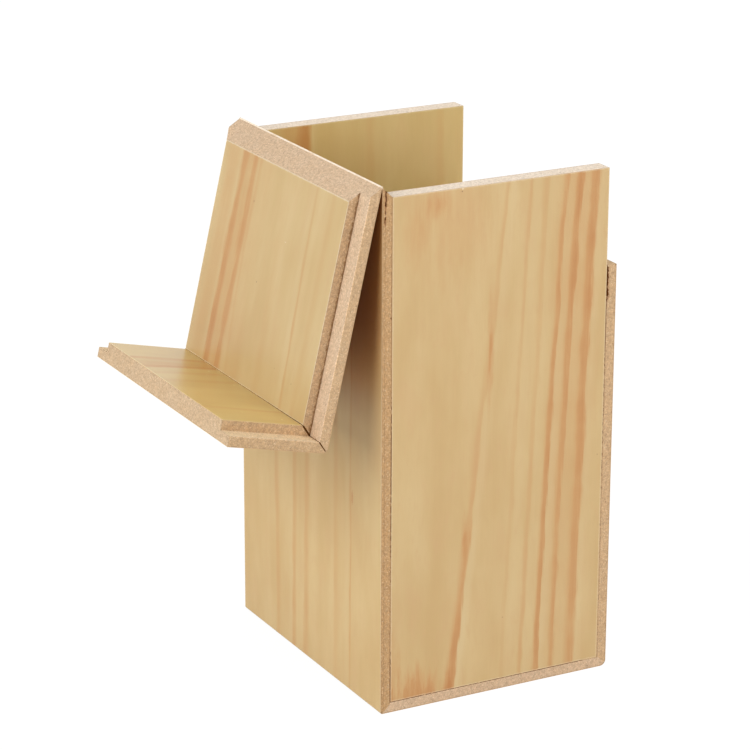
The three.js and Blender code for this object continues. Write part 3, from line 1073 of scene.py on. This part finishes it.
def add_glue_sheet(node, body, origin, along, inward, material):
    """The glue between a film and its board, nearly flush with the film's borders."""
    places = [vertex.co - origin for vertex in frame["nodes"][node].data.vertices]
    back = [place for place in places if abs(place.dot(inward)) < NEAR]
    start = min(place.dot(along) for place in back) + GLUE_INSET
    stop = max(place.dot(along) for place in back) - GLUE_INSET
    low = origin.x + min(place.x for place in back) + GLUE_INSET
    high = origin.x + max(place.x for place in back) - GLUE_INSET
    corners = ((start, 0), (stop, 0), (stop, GLUE), (start, GLUE))
    outline = [(origin + along * reach + inward * rise).yz for reach, rise in corners]
    glue = prism(node + "_glue", outline, (low, high), material)
    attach(glue, body)


def add_side_glue(material):
    """The glue between each side board and its two films."""
    for hand, face in (("left", "outer"), ("left", "inner"), ("right", "inner"), ("right", "outer")):
        low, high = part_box(f"side_film_{hand}_{face}")
        board_low, board_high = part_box(f"side_board_{hand}")
        ends = (high.x, board_low.x) if high.x < board_low.x else (board_high.x, low.x)
        back, front = low.y + GLUE_INSET, high.y - GLUE_INSET
        foot, top = low.z + GLUE_INSET, high.z - GLUE_INSET
        outline = [(back, foot), (front, foot), (front, top), (back, top)]
        glue = prism(f"side_film_{hand}_{face}_glue", outline, ends, material)
        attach(glue, "case")


def add_pieces():
    add_hinge_film()
    case_fibre = fibre_material("case_glue", CASE_BACK_TONE, fuzz=SMALL_FUZZ)
    lid_fibre = fibre_material("lid_glue", LID_TONE, fuzz=SMALL_FUZZ)
    add_nose("back_nose", "case", -Z, -Y, case_fibre)
    add_nose("lid_nose", "lid", LID_ALONG, LID_INWARD, lid_fibre)
    front_fibre = fibre_material("front_glue", CASE_BOTTOM_TONE, fuzz=SMALL_FUZZ)
    add_mitre_glue("back_mitre_glue", BACK, BACK_BEND_END, case_fibre)
    add_mitre_glue("front_mitre_glue", FRONT, FRONT_BEND_END, front_fibre)
    bead = bead_material()
    add_corner_bead(bead)
    for mitre in LID_MITRES:
        add_lid_mitre_glue(*mitre, bead)
    for sheet in GLUE_SHEETS:
        add_glue_sheet(*sheet, lid_fibre if sheet[1] == "lid" else case_fibre)
    add_side_glue(case_fibre)
    seam = seam_material()
    add_seam_glue("left", -1, seam)
    add_seam_glue("right", 1, seam)


add_pieces()


# Camera, at the photograph's angle

FRAME_PIXELS = 750
FOCAL_PIXELS = 3112.4
SENSOR = 36
CAMERA_PLACE = Vector((-1.1714, 0.65131, 0.57647))
CAMERA_FORWARD = Vector((0.83634, -0.44715, -0.31715)).normalized()
CAMERA_ROLL = math.radians(0.19)


def make_camera():
    level = CAMERA_FORWARD.cross(Z).normalized()
    right = Matrix.Rotation(-CAMERA_ROLL, 3, CAMERA_FORWARD) @ level
    up = right.cross(CAMERA_FORWARD)
    data = bpy.data.cameras.new("camera")
    data.sensor_width = SENSOR
    data.lens = FOCAL_PIXELS / FRAME_PIXELS * SENSOR
    camera = bpy.data.objects.new("camera", data)
    turn = Matrix((right, up, -CAMERA_FORWARD)).transposed().to_4x4()
    camera.matrix_world = Matrix.Translation(CAMERA_PLACE) @ turn
    bpy.context.scene.collection.objects.link(camera)
    bpy.context.scene.camera = camera


make_camera()


# Studio: world, lamps and floor

AIM = Vector((0, 0.02, 0.12))
LAMP_DISTANCE = 1.8
LAMP_SIZE = 1.2

# Each lamp: name, azimuth, elevation, level, whether glossy faces mirror it.
LAMPS = (
    ("back_softbox", 188, 28, 0.7, True),
    ("side_softbox", 290, 24, 0.5, True),
    ("front_softbox", 50, 25, 0.27, False),
)


def direction(azimuth, elevation):
    """The direction from the object to a lamp at these angles in degrees."""
    turn = math.radians(azimuth)
    rise = math.radians(elevation)
    return Vector((math.sin(turn) * math.cos(rise), -math.cos(turn) * math.cos(rise), math.sin(rise)))


def softbox(name, azimuth, elevation, level, mirrored):
    """A square lamp that alone lights a white face turned to it to the given level."""
    data = bpy.data.lights.new(name, "AREA")
    data.shape = "SQUARE"
    data.size = LAMP_SIZE
    data.energy = level * (math.pi * LAMP_DISTANCE) ** 2
    lamp = bpy.data.objects.new(name, data)
    lamp.visible_glossy = mirrored
    toward = direction(azimuth, elevation)
    turn = toward.to_track_quat("Z", "Y").to_matrix().to_4x4()
    lamp.matrix_world = Matrix.Translation(AIM + toward * LAMP_DISTANCE) @ turn
    bpy.context.scene.collection.objects.link(lamp)


WORLD_LEVEL = 0.56


def seen_directly(graph):
    """1 for camera, glossy and transmission rays."""
    seen = 0
    for kind in ("Is Camera Ray", "Is Glossy Ray", "Is Transmission Ray"):
        seen = graph.math("MAXIMUM", seen, graph.made("ShaderNodeLightPath", {}, kind))
    return seen


def make_world():
    """A dim white world that is full white where it is seen or mirrored."""
    world = bpy.data.worlds.new("studio")
    world.use_nodes = True
    bpy.context.scene.world = world
    graph = Graph(world.node_tree)
    background = world.node_tree.nodes["Background"]
    background.inputs["Color"].default_value = (1, 1, 1, 1)
    strength = graph.ranged(seen_directly(graph), 0, 1, WORLD_LEVEL, 1, smooth=False)
    graph.feed(background.inputs["Strength"], strength)


FLOOR_REACH = 12
FLOOR_DROP = 0.05 * MM
FLOOR_WHITE = (0.75, 0.75, 0.74, 1)
FLOOR_GLOW = 1.06
FLOOR_SHARE = 0.89


def make_floor():
    """A pale floor that the camera sees nearly white, with the object's faint shadow."""
    mesh = bpy.data.meshes.new("floor")
    signs = ((-1, -1), (1, -1), (1, 1), (-1, 1))
    mesh.from_pydata([(x * FLOOR_REACH, y * FLOOR_REACH, -FLOOR_DROP) for x, y in signs], [], [(0, 1, 2, 3)])
    floor = bpy.data.objects.new("floor", mesh)
    bpy.context.scene.collection.objects.link(floor)
    material, graph, _ = new_material("pale_floor")
    nodes = material.node_tree.nodes
    nodes.remove(nodes["Principled BSDF"])
    matte = graph.made("ShaderNodeBsdfDiffuse", {"Color": FLOOR_WHITE}, 0)
    glow = graph.made("ShaderNodeEmission", {"Strength": FLOOR_GLOW}, 0)
    share = seen_directly(graph) * FLOOR_SHARE
    blend = graph.made("ShaderNodeMixShader", {0: share, 1: matte, 2: glow}, 0)
    graph.feed(nodes["Material Output"].inputs["Surface"], blend)
    mesh.materials.append(material)


make_world()
make_floor()
for lamp in LAMPS:
    softbox(*lamp)

bpy.context.scene.view_settings.view_transform = "Standard"
